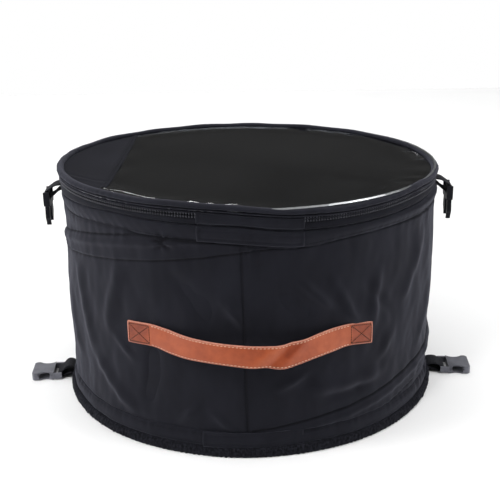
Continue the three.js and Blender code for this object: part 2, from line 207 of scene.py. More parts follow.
def seam_height(knots, travel):
    at, height = zip(*knots)
    return np.mean([np.interp(travel + k, at, height) for k in (-8, -4, 0, 4, 8)], axis=0)


def casings(deg):
    """Heights of the casing's lower and upper seam at an angle, where the helix starts and one turn later."""
    travel = -np.asarray(deg, float) % 360.0
    return [[seam_height(knots, t) for knots in (CASING_LOW, CASING_HIGH)] for t in (travel - 360.0, travel)]


def off_seam(deg, z):
    """How far a point lies to the right of the wall's upright seam, in millimetres."""
    return turn(deg - seam_angle(z)) * math.radians(WALL_R)


def seam_angle(z):
    return np.interp(z, [WALL_LOW, WALL_HIGH], VERTICAL_SEAM[::-1])


def ridge(deg, z, start, end, width, height):
    """A soft fold along a straight line on the wall, fading out at both ends."""
    scale = math.radians(WALL_R)
    x, y = turn(np.asarray(deg) - start[0]) * scale, np.asarray(z) - start[1]
    ax, ay = float(turn(end[0] - start[0])) * scale, end[1] - start[1]
    long = math.hypot(ax, ay)
    along = (x * ax + y * ay) / long
    across = (x * ay - y * ax) / long
    fade = smooth((along + 8) / 30) * smooth((long - along + 8) / 30)
    return height * bump(across, width) * fade


def round_knot(deg, z):
    """Distance and direction of a point from the thread's knot at the left of the front."""
    x, y = turn(np.asarray(deg) - KNOT[0]) * math.radians(WALL_R), np.asarray(z) - KNOT[1]
    return np.hypot(x, y), np.arctan2(y, x)


def star(deg, z):
    """The creases that the knot pulls into the cloth round it."""
    far, way = round_knot(deg, z)
    return -1.9 * bump(far, 2.4) + 1.5 * np.cos(5 * way + 0.6) * bump(far - 5.5, 4.5)


# Painted shade in the knot's dimple and in the hollows between the creases that it pulls.
def knot_shade(deg, z):
    far, way = round_knot(deg, z)
    return 1.0 * bump(far, 2.2) + 0.9 * np.clip(-np.cos(5 * way + 0.6), 0, 1) ** 2 * bump(far - 5, 4)


def along_hoop(knots, deg):
    """A value that is given at a few angles round the hoop, with soft steps between them."""
    at, value = zip(*knots)
    at, value = (*at, at[0] + 360), (*value, value[0])
    turns = [turn(np.asarray(deg, float) + k - at[0] - 180) + at[0] + 180 for k in (-4, -2, 0, 2, 4)]
    return np.mean([np.interp(t, at, value) for t in turns], axis=0)


def hem_seam(deg):
    """Height of the seam under the upper hem."""
    return along_hoop(HEM_SEAM, deg) + 0.5 * BROAD(deg, 0)


def hem_seam_weight(deg):
    """How strongly that seam shows: it fades where the casing runs into it."""
    return 1 - 0.75 * smooth((-turn(deg) - 30) / 5) * smooth((turn(deg) + 120) / 30)


def lean(deg, z):
    """How far a point of the zip or hinge moves up, between the hem's top and the lid's edge."""
    hem, lid = along_hoop(HEM_LEAN, deg), along_hoop(LID_LEAN, deg)
    low, high = smooth((z - 244) / 12), smooth((z - 257) / 4)
    return (1 - low) * hem + (low * COIL_LEAN + high * (1 - COIL_LEAN)) * lid


def wall_even(deg, z):
    """Radius of the wall's outer face without its seams and folds."""
    sideways = np.sin(np.radians(deg))
    side = smooth((np.abs(sideways) - 0.55) / 0.4)
    left, right = (np.interp(z, *zip(*knots)) for knots in (LEFT_SWELL, RIGHT_SWELL))
    return WALL_R - 0.9 + side * np.where(sideways < 0, left, right)


def wall_out(deg, z):
    """Radius of the wall's outer face."""
    deg, z = np.broadcast_arrays(np.asarray(deg, float), np.asarray(z, float))
    r = wall_even(deg, z)
    for low, high in casings(deg):
        inside = smooth((z - low + 1.5) / 4) * smooth((high - z + 1.5) / 4)
        wire = low + 0.66 * (high - low)
        r = r + CASING_RAISE * inside + WIRE_BUMP * bump(z - wire, 4.2)
        r = r + 0.13 * PUCKERS(deg, z) * (bump(z - low, 5) + bump(z - high, 5))
        r = r - SEAM_DEPTH * (bump(z - low, 1.2) + bump(z - high, 1.2))
    across = off_seam(deg, z)
    r = r - 0.45 * bump(across, 0.8) + 0.4 * bump(across - 3.2, 2.6) + 0.2 * bump(across + 3, 3)
    gain = FOLD_GAIN[0] + FOLD_GAIN[1] * bump(turn(deg), 55)
    for fold in FOLDS:
        r = r + gain * ridge(deg, z, *fold)
    r = r + 0.6 * BROAD(deg, z) + 0.30 * CREASES(deg, z) + 0.15 * RIPPLES(deg, z)
    top = hem_seam(deg)
    ends = bump(z - FOOT_HIGH, 8) + bump(z - top + 4, 8)
    r = r + 0.12 * PUCKERS(deg, z) * ends + star(deg, z)
    left = smooth((-deg - 28) / 10) * smooth((150 + deg) / 30)
    r = r + 1.1 * left * smooth((z - 214) / 14)
    tuck = smooth((FOOT_HIGH + 1.5 - z) / 3)
    r = r * (1 - tuck) + (WALL_R - 1.2) * tuck
    return r - 1.7 * hem_seam_weight(deg) * smooth((z - top + 2.6) / 2.6)


# ---------- Meshes ----------
def build(name, verts, faces, uv=None):
    """A mesh object from corners in millimetres. uv is one (u, v) in millimetres for each face corner."""
    mesh = bpy.data.meshes.new(name)
    mesh.from_pydata((np.asarray(verts) * MM).tolist(), [], faces)
    if uv is not None:
        layer = mesh.uv_layers.new(name="cloth")
        layer.data.foreach_set("uv", np.asarray(uv, np.float32).ravel())
    mesh.polygons.foreach_set("use_smooth", [True] * len(mesh.polygons))
    mesh.update()
    obj = bpy.data.objects.new(name, mesh)
    bpy.context.scene.collection.objects.link(obj)
    return obj


def grid_faces(nu, nv, wrap_u, wrap_v):
    i, j = np.meshgrid(
        np.arange(nu if wrap_u else nu - 1), np.arange(nv if wrap_v else nv - 1), indexing="ij"
    )
    i, j = i.ravel(), j.ravel()
    i2, j2 = (i + 1) % nu, (j + 1) % nv
    quads = np.stack([i * nv + j, i2 * nv + j, i2 * nv + j2, i * nv + j2], axis=1)
    return quads, i, j


def skin(name, points, us, vs, wrap_u=False, wrap_v=False, caps=False):
    """A surface through a grid of points. us and vs are the cloth's own lengths along its two directions."""
    nu, nv = points.shape[:2]
    quads, i, j = grid_faces(nu, nv, wrap_u, wrap_v)
    uv = np.stack([us[np.stack([i, i + 1, i + 1, i], 1)], vs[np.stack([j, j, j + 1, j + 1], 1)]], axis=-1)
    faces = quads.tolist()
    uv = uv.reshape(-1, 2)
    if caps:
        first, last = list(range(nv)), [(nu - 1) * nv + k for k in range(nv)]
        faces += [first, last[::-1]]
        ends = np.array([[us[0], vs[k]] for k in range(nv)] + [[us[nu - 1], vs[k]] for k in range(nv)[::-1]])
        uv = np.concatenate([uv, ends])
    obj = build(name, points.reshape(-1, 3), faces, uv)
    if caps:
        for face in list(obj.data.polygons)[-2:]:
            face.use_smooth = False
    return obj


def lengths(points, closed=True):
    """Distance along a line of points, ending with the whole length if it is closed."""
    line = np.concatenate([points, points[:1]]) if closed else points
    return np.concatenate([[0], np.cumsum(np.linalg.norm(np.diff(line, axis=0), axis=1))])


def rounded(corners, times=2, closed=True):
    """A line with its corners cut off again and again, which leaves smooth curves."""
    p = np.array(corners, float)
    for _ in range(times):
        after = np.roll(p, -1, axis=0)
        cut = np.stack([0.75 * p + 0.25 * after, 0.25 * p + 0.75 * after], axis=1)
        if closed:
            p = cut.reshape(-1, p.shape[1])
        else:
            p = np.concatenate([p[:1], cut[:-1].reshape(-1, p.shape[1]), p[-1:]])
    return p


def band(name, section, steps, span=None, shape=None):
    """A hoop with a closed section of (radius, height) corners, or the part of it within span.
    shape(deg, r, z) moves the points to their final radius and height."""
    section = np.asarray(section, float)
    whole = span is None
    low, high = (-180.0, 180.0) if whole else span
    count = steps if whole else steps + 1
    degs = low + (high - low) * np.arange(count) / steps
    deg, r = np.meshgrid(degs, section[:, 0], indexing="ij")
    z = np.broadcast_to(section[:, 1], r.shape)
    if shape:
        r, z = shape(deg, r, z)
    us = np.radians(low + (high - low) * np.arange(count + 1) / steps) * section[:, 0].max()
    return skin(name, polar(r, deg, z), us, lengths(section), whole, True, caps=not whole)


def copies(name, verts, faces, places, turns):
    """Many copies of one small mesh, as one object: each is turned by a matrix, and moved to its place."""
    n, count = len(places), len(verts)
    moved = np.einsum("nij,vj->nvi", turns, verts) + places[:, None, :]
    all_faces = [[v + k * count for v in face] for k in range(n) for face in faces]
    return build(name, moved.reshape(-1, 3), all_faces)


def pill(long, thick, deep, sides=6):
    """A rounded bar along X: its corners and faces."""
    half = long / 2
    rings = [(-half * 0.82, 0.75), (-half * 0.45, 1.0), (half * 0.45, 1.0), (half * 0.82, 0.75)]
    verts = [(-half, 0.0, 0.0)]
    for x, k in rings:
        for s in range(sides):
            a = 2 * math.pi * s / sides
            verts.append((x, k * thick / 2 * math.cos(a), k * deep / 2 * math.sin(a)))
    verts.append((half, 0.0, 0.0))
    last = len(verts) - 1
    faces = [(0, 1 + (s + 1) % sides, 1 + s) for s in range(sides)]
    for ring in range(len(rings) - 1):
        for s in range(sides):
            a, b = 1 + ring * sides + s, 1 + ring * sides + (s + 1) % sides
            faces.append((a, b, b + sides, a + sides))
    tail = last - sides
    faces += [(last, tail + s, tail + (s + 1) % sides) for s in range(sides)]
    return np.array(verts), faces


def evenly(path, pitch):
    """Points spaced evenly along a path, half a pitch in from its ends, and the path's direction there."""
    along = lengths(path, closed=False)
    count = max(2, round(along[-1] / pitch))
    at = (np.arange(count) + 0.5) * along[-1] / count
    points = np.stack([np.interp(at, along, path[:, k]) for k in range(3)], axis=1)
    ahead = np.stack([np.interp(at + 0.3, along, path[:, k]) for k in range(3)], axis=1)
    behind = np.stack([np.interp(at - 0.3, along, path[:, k]) for k in range(3)], axis=1)
    way = ahead - behind
    return points, way / np.linalg.norm(way, axis=1, keepdims=True)


def frames_of(way, up):
    """Rotations that take X along way and Z towards up."""
    side = np.cross(up, way)
    side /= np.linalg.norm(side, axis=1, keepdims=True)
    return np.stack([way, side, np.cross(way, side)], axis=-1)


def outward(points):
    out = points * np.array([1.0, 1.0, 0.0])
    return out / np.linalg.norm(out, axis=1, keepdims=True)


def stitches(name, paths, up=outward, pitch=STITCH_PITCH, long=2.5, thick=0.55, lift=0.1):
    """A row of separate thread stitches along each path."""
    places, turns = [], []
    for path in paths:
        points, way = evenly(np.asarray(path, float), pitch)
        above = up(points)
        places.append(points + above * lift)
        turns.append(frames_of(way, above))
    verts, faces = pill(long, thick, thick * 0.8)
    return copies(name, verts, faces, np.concatenate(places), np.concatenate(turns))


def laid_on(obj, deg, z):
    """Points on a piece's outer face, at angles and heights of its own."""
    corners = [v.co.copy() for v in obj.data.vertices]
    tree = BVHTree.FromPolygons(corners, [tuple(p.vertices) for p in obj.data.polygons])
    points = []
    for way, height in zip(polar(1.0, deg, 0.0), z):
        way = Vector(way)
        start = way * (HEM_R + 30) * MM + Vector((0, 0, height * MM))
        hit = tree.ray_cast(start, -way)[0]
        if hit is not None:
            points.append(np.array(hit) / MM)
    return np.array(points)


def thicken(obj, thick, offset=-1.0):
    solid = obj.modifiers.new("thickness", "SOLIDIFY")
    solid.thickness = thick * MM
    solid.offset = offset
    return obj


def soften(obj, width, segments=2, angle=30):
    """Rounds a hard piece's edges, as moulding leaves them."""
    edge = obj.modifiers.new("rounded edges", "BEVEL")
    edge.width = width * MM
    edge.segments = segments
    edge.limit_method = "ANGLE"
    edge.angle_limit = math.radians(angle)
    edge.harden_normals = True
    return obj


def dress(obj, look, slot, *nodes):
    """Gives a piece its material, and hides the CAD nodes that it stands for. The slot is not used."""
    obj.data.materials.clear()
    obj.data.materials.append(look)
    if nodes:
        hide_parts(*nodes)
    return obj


def follow_wall(obj):
    """Puts a piece of the wall on the base's body, with a mesh of its own."""
    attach(obj, "base")
    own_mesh(obj)
    return obj


# ---------- Materials ----------
class Nodes:
    """A short way to write a material's node tree."""

    def __init__(self, name):
        self.material = bpy.data.materials.new(name)
        self.material.use_nodes = True
        self.tree = self.material.node_tree
        self.shader = self.tree.nodes["Principled BSDF"]

    def add(self, kind, **values):
        node = self.tree.nodes.new("ShaderNode" + kind)
        for key, value in values.items():
            setattr(node, key, value)
        return node

    def put(self, socket, value):
        if hasattr(value, "links"):
            self.tree.links.new(value, socket)
        else:
            socket.default_value = value

    def math(self, operation, a, b=0.0, c=0.0):
        node = self.add("Math", operation=operation)
        for socket, value in zip(node.inputs, (a, b, c)):
            self.put(socket, value)
        return node.outputs[0]

    def noise(self, scale, detail=2.0, where=None, rough=0.5):
        node = self.add("TexNoise")
        node.inputs["Scale"].default_value = scale
        node.inputs["Detail"].default_value = detail
        node.inputs["Roughness"].default_value = rough
        self.put(node.inputs["Vector"], where or self.place())
        return node.outputs["Fac"]

    def place(self):
        return self.add("TexCoord").outputs["Object"]

    def stretched(self, x, y, z):
        node = self.add("Mapping")
        node.inputs["Scale"].default_value = (x, y, z)
        self.put(node.inputs["Vector"], self.place())
        return node.outputs[0]

    def ramp(self, factor, *stops):
        node = self.add("ValToRGB")
        elements = node.color_ramp.elements
        while len(elements) < len(stops):
            elements.new(0.5)
        for element, (at, color) in zip(elements, stops):
            element.position = at
            element.color = (*color, 1.0)
        self.put(node.inputs[0], factor)
        return node.outputs[0]

    def span(self, value, low, high):
        node = self.add("MapRange")
        self.put(node.inputs["Value"], value)
        node.inputs["To Min"].default_value = low
        node.inputs["To Max"].default_value = high
        return node.outputs[0]

    def bump(self, height, distance, strength=1.0, before=None):
        node = self.add("Bump")
        node.inputs["Strength"].default_value = strength
        node.inputs["Distance"].default_value = distance * MM
        self.put(node.inputs["Height"], height)
        if before is not None:
            self.put(node.inputs["Normal"], before)
        return node.outputs[0]

    def weave(self, pitch, twill=0.0):
        """Height of a plain weave, whose threads cross every pitch millimetres of the cloth's own map."""
        uv = self.add("UVMap", uv_map="cloth").outputs[0]
        parts = self.add("SeparateXYZ")
        self.put(parts.inputs[0], uv)
        u, v = parts.outputs[0], parts.outputs[1]
        if twill:
            v = self.math("MULTIPLY_ADD", u, twill, v)
        warp = self.math("SINE", self.math("MULTIPLY", u, math.pi / pitch))
        weft = self.math("SINE", self.math("MULTIPLY", v, math.pi / pitch))
        return self.math("MULTIPLY_ADD", self.math("MULTIPLY", warp, weft), 0.5, 0.5)

    def ribs(self, pitch, direction=0):
        uv = self.add("UVMap", uv_map="cloth").outputs[0]
        parts = self.add("SeparateXYZ")
        self.put(parts.inputs[0], uv)
        wave = self.math("SINE", self.math("MULTIPLY", parts.outputs[direction], 2 * math.pi / pitch))
        return self.math("MULTIPLY_ADD", wave, 0.5, 0.5)

    def set(self, **values):
        for key, value in values.items():
            self.put(self.shader.inputs[key.replace("_", " ")], value)
        return self.material


BLUISH = (0.80, 0.81, 1.0, 1.0)


def grey(value, blue=0.0):
    return (value, value * (1 + 0.08 * blue), value * (1 + blue))


def cloth_look(name, dark, light, pitch=0.62, sheen=0.10, rough=0.8, fuzz=1.0, shine=0.14):
    """Plain-woven polyester: fine threads, slightly uneven colour and a soft sheen."""
    n = Nodes(name)
    cloudy = n.noise(20, 5)
    streaks = n.noise(90, 3, n.stretched(1, 1, 0.25))
    tone = n.math("MULTIPLY_ADD", streaks, 0.35, n.math("MULTIPLY", cloudy, 0.65))
    weave = n.weave(pitch)
    shade = n.math("MULTIPLY_ADD", weave, 0.3, n.math("MULTIPLY", tone, 0.8))
    threads = n.bump(weave, 0.10, 0.55)
    lumps = n.bump(n.noise(420, 3), 0.12 * fuzz, 0.5, threads)
    # Painted shade stored on the piece (in seams, grooves and creases) darkens the colour here.
    seams = n.add("Attribute", attribute_name="shade").outputs["Fac"]
    lit = n.math("SUBTRACT", shade, n.math("MULTIPLY", seams, 0.75))
    return n.set(
        Base_Color=n.ramp(
            lit, (0.0, grey(dark * 0.25, 0.3)), (0.36, grey(dark, 0.45)), (0.74, grey(light, 0.42))
        ),
        Roughness=n.span(tone, rough - 0.07, rough + 0.08),
        Specular_IOR_Level=shine,
        Specular_Tint=BLUISH,
        Sheen_Weight=sheen,
        Sheen_Roughness=0.45,
        Sheen_Tint=BLUISH,
        Normal=lumps,
    )


def webbing_look(name, dark, light):
    """Ribbed webbing: thick ribs across, with a fine thread on each."""
    n = Nodes(name)
    ribs, threads = n.ribs(1.7), n.weave(0.55)
    worn = n.noise(120, 3)
    shade = n.math("MULTIPLY_ADD", ribs, 0.5, n.math("MULTIPLY", worn, 0.5))
    first = n.bump(ribs, 0.35, 0.9)
    return n.set(
        Base_Color=n.ramp(shade, (0.2, grey(dark, 0.3)), (0.85, grey(light, 0.3))),
        Roughness=n.span(worn, 0.6, 0.82),
        Specular_IOR_Level=0.2,
        Specular_Tint=BLUISH,
        Sheen_Weight=0.04,
        Normal=n.bump(threads, 0.1, 0.6, first),
    )


def binding_look(name):
    """Crinkled knit tape: uneven upright ribs."""
    n = Nodes(name)
    ribs = n.ribs(1.9)
    crinkle = n.noise(480, 3)
    shade = n.math("MULTIPLY_ADD", ribs, 0.08, n.math("MULTIPLY", crinkle, 0.95))
    first = n.bump(ribs, 0.1, 0.4)
    return n.set(
        Base_Color=n.ramp(shade, (0.42, grey(0.0012, 0.35)), (0.78, grey(0.017, 0.35))),
        Roughness=n.span(crinkle, 0.75, 0.95),
        Specular_IOR_Level=0.1,
        Specular_Tint=BLUISH,
        Sheen_Weight=0.05,
        Sheen_Tint=BLUISH,
        Normal=n.bump(crinkle, 0.6, 1.0, first),
    )


def leather_look(name):
    """Smooth tan leather-look strap with fine grain, rubbed darker and lighter patches."""
    n = Nodes(name)
    grain = n.add("TexVoronoi", feature="DISTANCE_TO_EDGE")
    grain.inputs["Scale"].default_value = 900
    n.put(grain.inputs["Vector"], n.place())
    cells = n.math("MINIMUM", n.math("MULTIPLY", grain.outputs["Distance"], 4.0), 1.0)
    patches = n.noise(26, 4)
    rubbed = n.noise(160, 3)
    tone = n.math("MULTIPLY_ADD", rubbed, 0.4, n.math("MULTIPLY", patches, 0.6))
    # The strap's stored painted shade and painted highlight, with its darker sewn ends, darken or lighten the
    # tone.
    painted_shade_and_darker_ends = n.add("Attribute", attribute_name="shade").outputs["Fac"]
    tone = n.math("SUBTRACT", tone, n.math("MULTIPLY", painted_shade_and_darker_ends, 0.5))
    color = n.ramp(
        tone,
        (0.0, (0.10, 0.014, 0.004)), (0.3, (0.23, 0.042, 0.013)), (0.55, (0.32, 0.068, 0.022)),
        (0.85, (0.43, 0.108, 0.042)),
    )
    return n.set(
        Base_Color=color,
        Roughness=n.span(patches, 0.3, 0.5),
        Specular_IOR_Level=0.3,
        Coat_Weight=0.08,
        Coat_Roughness=0.25,
        Normal=n.bump(rubbed, 0.12, 0.5, n.bump(cells, 0.06, 0.5)),
    )


def raw_edge_look(name):
    """The strap's cut edges, pale and slightly furry."""
    n = Nodes(name)
    fibres = n.noise(900, 4)
    return n.set(
        Base_Color=n.ramp(fibres, (0.3, (0.34, 0.115, 0.075)), (0.75, (0.56, 0.27, 0.20))),
        Roughness=n.span(fibres, 0.7, 0.9),
        Specular_IOR_Level=0.2,
        Normal=n.bump(fibres, 0.2, 0.7),
    )


def thread_look(name, dark, light, shine=0.3):
    """Twisted sewing thread."""
    n = Nodes(name)
    twist = n.noise(1500, 2)
    return n.set(
        Base_Color=n.ramp(twist, (0.3, dark), (0.75, light)),
        Roughness=n.span(twist, 0.5, 0.75),
        Specular_IOR_Level=shine,
        Normal=n.bump(twist, 0.1, 0.7),
    )


def plastic_look(name, dark, light, rough=0.36, shine=0.5):
    """Moulded plastic with a fine eroded surface, scuffed paler along its edges."""
    n = Nodes(name)
    eroded = n.noise(2200, 3)
    scuffs = n.noise(75, 4)
    edges = n.add("NewGeometry").outputs["Pointiness"]
    worn = n.math("MULTIPLY", n.math("MAXIMUM", n.math("SUBTRACT", edges, 0.5), 0.0), 5.0)
    tone = n.math("MULTIPLY_ADD", scuffs, 0.7, n.math("MULTIPLY", worn, scuffs))
    return n.set(
        Base_Color=n.ramp(tone, (0.25, grey(dark, 0.14)), (0.75, grey(light, 0.14))),
        Roughness=n.span(scuffs, rough - 0.06, rough + 0.12),
        Specular_IOR_Level=shine,
        Specular_Tint=BLUISH,
        Normal=n.bump(eroded, 0.04, 0.5),
    )


def metal_look(name, color, rough):
    """Painted or bare metal with fine scratches."""
    n = Nodes(name)
    scratches = n.noise(260, 4, n.stretched(1, 1, 6))
    return n.set(
        Base_Color=n.ramp(scratches, (0.3, color), (0.8, tuple(min(1.0, c * 1.5) for c in color))),
        Metallic=1.0,
        Roughness=n.span(scratches, rough - 0.08, rough + 0.12),
        Normal=n.bump(scratches, 0.03, 0.4),
    )


def clear_look(name):
    """Thin clear PVC: it lets light straight through, and shines more the flatter it is seen."""
    n = Nodes(name)
    ripple = n.bump(n.noise(22, 2), 0.4, 0.2)
    see = n.add("BsdfTransparent")
    see.inputs["Color"].default_value = (0.80, 0.83, 0.86, 1.0)
    shine = n.add("BsdfGlossy")
    haze = n.span(n.noise(60, 3), 0.03, 0.09)
    n.put(shine.inputs["Roughness"], haze)
    n.put(shine.inputs["Normal"], ripple)
    edge_on = n.add("Fresnel")
    edge_on.inputs["IOR"].default_value = 1.5
    n.put(edge_on.inputs["Normal"], ripple)
    mix = n.add("MixShader")
    n.put(mix.inputs[0], edge_on.outputs[0])
    n.put(mix.inputs[1], see.outputs[0])
    n.put(mix.inputs[2], shine.outputs[0])
    out = n.tree.nodes["Material Output"]
    n.put(out.inputs["Surface"], mix.outputs[0])
    n.tree.nodes.remove(n.shader)
    return n.material


def floor_look(name):
    n = Nodes(name)
    faint = n.noise(3, 2)
    return n.set(
        Base_Color=n.ramp(faint, (0.0, (0.86, 0.86, 0.86)), (1.0, (0.9, 0.9, 0.9))),
        Roughness=0.9,
        Specular_IOR_Level=0.1,
    )


# ---------- Camera, light and floor ----------
CAMERA_ELEVATION = 18.46
CAMERA_TARGET = (1.1, 0.0, 153.0)
CAMERA_FAR = 1093.6
CAMERA_LENS = 64.98
CAMERA_ROLL = -0.93


def add_camera():
    data = bpy.data.cameras.new("camera")
    data.lens = CAMERA_LENS
    data.sensor_width = 36.0
    data.clip_end = 60
    camera = bpy.data.objects.new("camera", data)
    bpy.context.scene.collection.objects.link(camera)
    e = math.radians(CAMERA_ELEVATION)
    back = Vector((0.0, -math.cos(e), math.sin(e)))
    camera.location = (Vector(CAMERA_TARGET) + back * CAMERA_FAR) * MM
    camera.rotation_mode = "QUATERNION"
    roll = Quaternion((0, 0, 1), math.radians(CAMERA_ROLL))
    camera.rotation_quaternion = (-back).to_track_quat("-Z", "Y") @ roll
    bpy.context.scene.camera = camera


def softbox(name, place, size, power, aim=(0.0, 0.0, 0.12)):
    data = bpy.data.lights.new(name, "AREA")
    data.shape = "RECTANGLE"
    data.size, data.size_y = size
    data.energy = power
    light = bpy.data.objects.new(name, data)
    light.location = place
    light.rotation_mode = "QUATERNION"
    light.rotation_quaternion = (Vector(aim) - Vector(place)).to_track_quat("-Z", "Y")
    bpy.context.scene.collection.objects.link(light)


def add_studio():
    bpy.context.scene.view_settings.view_transform = "Standard"
    world = bpy.data.worlds.new("studio")
    bpy.context.scene.world = world
    world.use_nodes = True
    tree = world.node_tree
    back = tree.nodes["Background"]
    up = tree.nodes.new("ShaderNodeSeparateXYZ")
    tree.links.new(tree.nodes.new("ShaderNodeTexCoord").outputs["Generated"], up.inputs[0])
    dome = tree.nodes.new("ShaderNodeValToRGB")
    for element, (at, value) in zip(dome.color_ramp.elements, ((0.3, 0.09), (0.85, 0.55))):
        element.position = at
        element.color = (value, value, value, 1.0)
    tree.links.new(up.outputs[2], dome.inputs[0])
    seen = tree.nodes.new("ShaderNodeLightPath")
    mix = tree.nodes.new("ShaderNodeMixRGB")
    mix.inputs[2].default_value = (1.0, 1.0, 1.0, 1.0)
    tree.links.new(seen.outputs["Is Camera Ray"], mix.inputs[0])
    tree.links.new(dome.outputs[0], mix.inputs[1])
    tree.links.new(mix.outputs[0], back.inputs["Color"])
    back.inputs["Strength"].default_value = 1.0
    softbox("left_softbox", (-1.9, -0.6, 0.8), (0.7, 1.2), 28)
    softbox("right_softbox", (1.8, -0.75, 0.9), (0.7, 1.2), 21)
    softbox("key_softbox", (-1.1, -1.7, 2.1), (0.4, 0.4), 16)
    softbox("back_strip", (-0.5, 2.9, 2.1), (1.4, 0.4), 13)
    softbox("ceiling", (0.0, 0.5, 5.0), (8.0, 8.0), 250, (0.0, 0.5, 0.0))
    side = 2.3
    corners = [(-side, -side, 0), (side, -side, 0), (side, side, 0), (-side, side, 0)]
    floor = build("floor", np.array(corners) / MM - [0, 0, 0.3], [(0, 1, 2, 3)])
    floor.data.materials.append(floor_look("floor_paper"))


# ---------- Base ----------
def base_pieces(looks):
    rings = np.array([0.5, 20, 60, 100, 140, 175, 200, 211, 215.4])
    degs = np.arange(0, 360, 3.0)
    r, deg = np.meshgrid(rings, degs, indexing="ij")
    under = 0.35 + 0.12 * BROAD(deg, r)
    over = np.full(r.shape, 1.5)
    sheet = np.concatenate([polar(r, deg, over), polar(r[::-1], deg[::-1], under[::-1])])
    panel = skin("base_cloth", sheet, lengths(sheet[:, 0]), lengths(sheet[0]), True, True)
    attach(dress(panel, looks["cloth"], "cloth", "base_panel"), "base")

    r, deg = np.meshgrid(np.array([0.5, 40, 90, 130, 165, 190, 205, 211.2]), degs, indexing="ij")
    top = LINING_TOP - 0.1 + 0.25 * BROAD(deg, r * 0.4) * (1 - smooth((r - 180) / 30))
    sheet = np.concatenate([polar(r, deg, top), polar(r[::-1], deg[::-1], np.full(r.shape, 4.7))])
    lining = skin("floor_lining", sheet[:, ::-1], lengths(sheet[:, 0]), lengths(sheet[0]), True, True)
    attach(dress(lining, looks["lining"], "cloth", "base_lining"), "base")

    section = rounded([
        (213.6, 0.1), (219.4, 0.0), (BINDING_R + 1.6, 1.2), (BINDING_R + 1.8, 5.0),
        (BINDING_R + 0.6, 8.2), (217.6, BINDING_HIGH - 1.2), (215.0, BINDING_HIGH - 0.6), (214.7, 6.0),
        (214.4, 1.8), (213.6, 1.7),
    ])

    def crinkled(deg, r, z):
        out = smooth((r - 215) / 3)
        ribs = 0.05 * np.sin(np.radians(deg) * 420 + 3.5 * PUCKERS(deg, z))
        knit = 0.32 * FINE_PUCKERS(deg, z * 3) + 0.22 * PUCKERS(deg * 2, z * 4)
        left = smooth(-np.sin(np.radians(deg)) + 0.2)
        return r + out * (ribs + knit + 0.2 * BROAD(deg, z) + 0.5 + 1.1 * left), z

    binding = band("edge_binding", section, 1260, shape=crinkled)
    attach(dress(binding, looks["binding"], "binding", "base_binding"), "base")


def hem_seam_low(deg):
    """Height of the seam over the lower hem."""
    return FOOT_HIGH - 0.4 + 0.35 * BROAD(deg, 60)


def hem_stitches(name, hem, height, looks, body):
    """A row of thread all round a hem, at height(deg)."""
    deg = np.linspace(-180, 180, 2400)
    seam = stitches(name, [laid_on(hem, deg, height(deg))], long=2.2, thick=0.5)
    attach(dress(seam, looks["black_thread"], "cloth"), body)


def bottom_hem(looks):
    section = rounded([
        (211.0, FOOT_LOW - 1.4), (215.6, FOOT_LOW - 1.8), (216.9, 11.8), (217.1, 16.5), (216.5, 20.5),
        (214.9, 24.4), (214.2, FOOT_HIGH + 0.4), (213.0, FOOT_HIGH + 0.2), (211.2, 22.5), (208.9, 19.0),
        (208.6, 15.0), (209.3, 12.4),
    ])

    def puckered(deg, r, z):
        outside = smooth((r - 212) / 2)
        near = bump(z - FOOT_HIGH, 6)
        dr = outside * (0.22 * PUCKERS(deg, z) * near + 0.14 * CREASES(deg, z) + 0.35 * BROAD(deg, z))
        slack = smooth((deg - 50) / 25) * smooth((110 - deg) / 25)
        dr = dr + outside * slack * 0.55 * PUCKERS(deg * 0.7, z) * bump(z - 19, 7)
        dr = dr + outside * 1.1 * smooth(-np.sin(np.radians(deg)) - 0.1)
        return r + dr, z + outside * smooth((z - 19) / 6) * (hem_seam_low(deg) - FOOT_HIGH + 0.4)

    hem = band("lower_hem", section, 720, shape=puckered)
    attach(dress(hem, looks["cloth"], "cloth", "bottom_hem"), "base")
    hem_stitches("lower_hem_seam", hem, lambda deg: hem_seam_low(deg) - 1.9, looks, "base")


def top_hem(looks):
    section = rounded([
        (213.3, 228.8), (214.1, 230.2), (215.2, 233.2), (216.3, 237.0), (216.2, 241.2),
        (214.9, HEM_HIGH + 1.5), (211.8, HEM_HIGH + 1.2), (209.4, 240.0), (208.7, 236.5),
        (209.6, 231.5), (211.6, 227.5), (213.0, 227.0),
    ])

    def puckered(deg, r, z):
        outside = smooth((r - 212.5) / 2)
        near = bump(z - 230, 5)
        slant = np.sin(np.radians(deg) * 95 + z * 0.55 + 1.5 * BROAD(deg, z))
        dr = 0.16 * PUCKERS(deg, z) * near + 0.1 * slant + 0.3 * BROAD(deg, z) + 0.12 * CREASES(deg, z)
        right = bump(turn(deg - 84), 34)
        down = smooth((HEM_HIGH + 1 - z) / 12)
        height = z + (1 - down) * along_hoop(HEM_LEAN, deg) + down * (hem_seam(deg) - 229.6)
        dr = dr + 0.5 * star(deg, height) + 3.4 * right * smooth((HEM_HIGH - z) / 3)
        return r + outside * dr, height

    hem = band("upper_hem", section, 720, shape=puckered)
    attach(dress(hem, looks["cloth"], "cloth", "top_hem"), "top_ring")
    hem_stitches("upper_hem_seam", hem, lambda deg: hem_seam(deg) + 2.0, looks, "top_ring")


